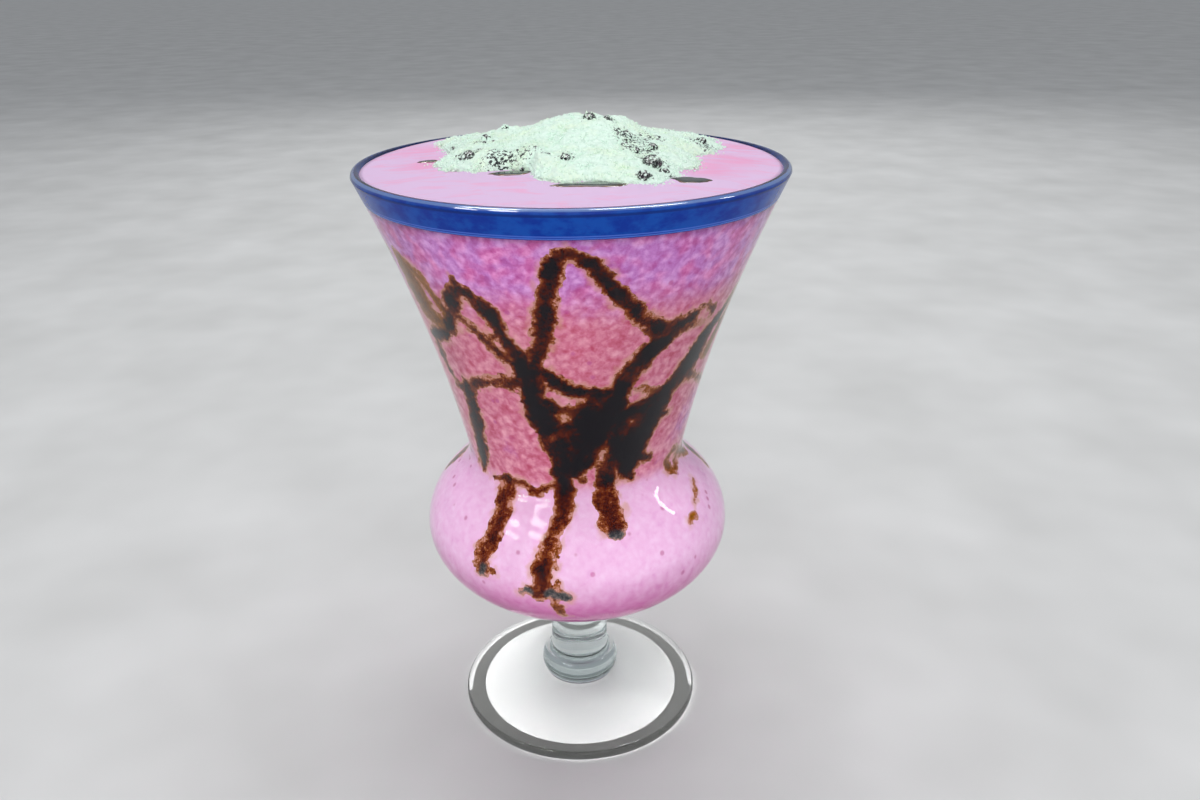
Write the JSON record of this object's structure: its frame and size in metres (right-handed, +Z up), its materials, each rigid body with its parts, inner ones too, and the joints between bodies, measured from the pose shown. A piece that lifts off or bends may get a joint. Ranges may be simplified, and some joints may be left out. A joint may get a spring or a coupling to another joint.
{
  "type": "ice scramble in a footed glass",
  "caption": "Frozen pink milk-ice drink filled to the brim of a flared footed glass with a blue rim band, streaked with chocolate syrup and topped with a heap of milk powder.",
  "frame": {"origin": "centre of the foot's underside, on the surface that the glass stands on", "axes": "+Z up along the glass's axis; -Y is the front, the side with the syrup arch"},
  "size_m": [0.1022, 0.1022, 0.1625],
  "materials": {
    "clear_glass": "clear, polished",
    "blue_enamel": "glossy fired enamel on the outside of the glass",
    "pink_slush": "wet, finely icy",
    "chocolate_syrup": "glossy, thick, brown at thin edges",
    "milk_powder": "dry, fine grains"
  },
  "bodies": {
    "root": {"glass": "clear_glass", "rim_band": "blue_enamel", "slush": "pink_slush", "syrup_front": "chocolate_syrup", "syrup_right_drop": "chocolate_syrup", "syrup_left": "chocolate_syrup", "syrup_back": "chocolate_syrup", "syrup_pool_right": "chocolate_syrup", "syrup_pool_front": "chocolate_syrup", "syrup_pool_left": "chocolate_syrup", "syrup_pool_outer": "chocolate_syrup", "milk_powder": "milk_powder"}
  },
  "joints": []
}
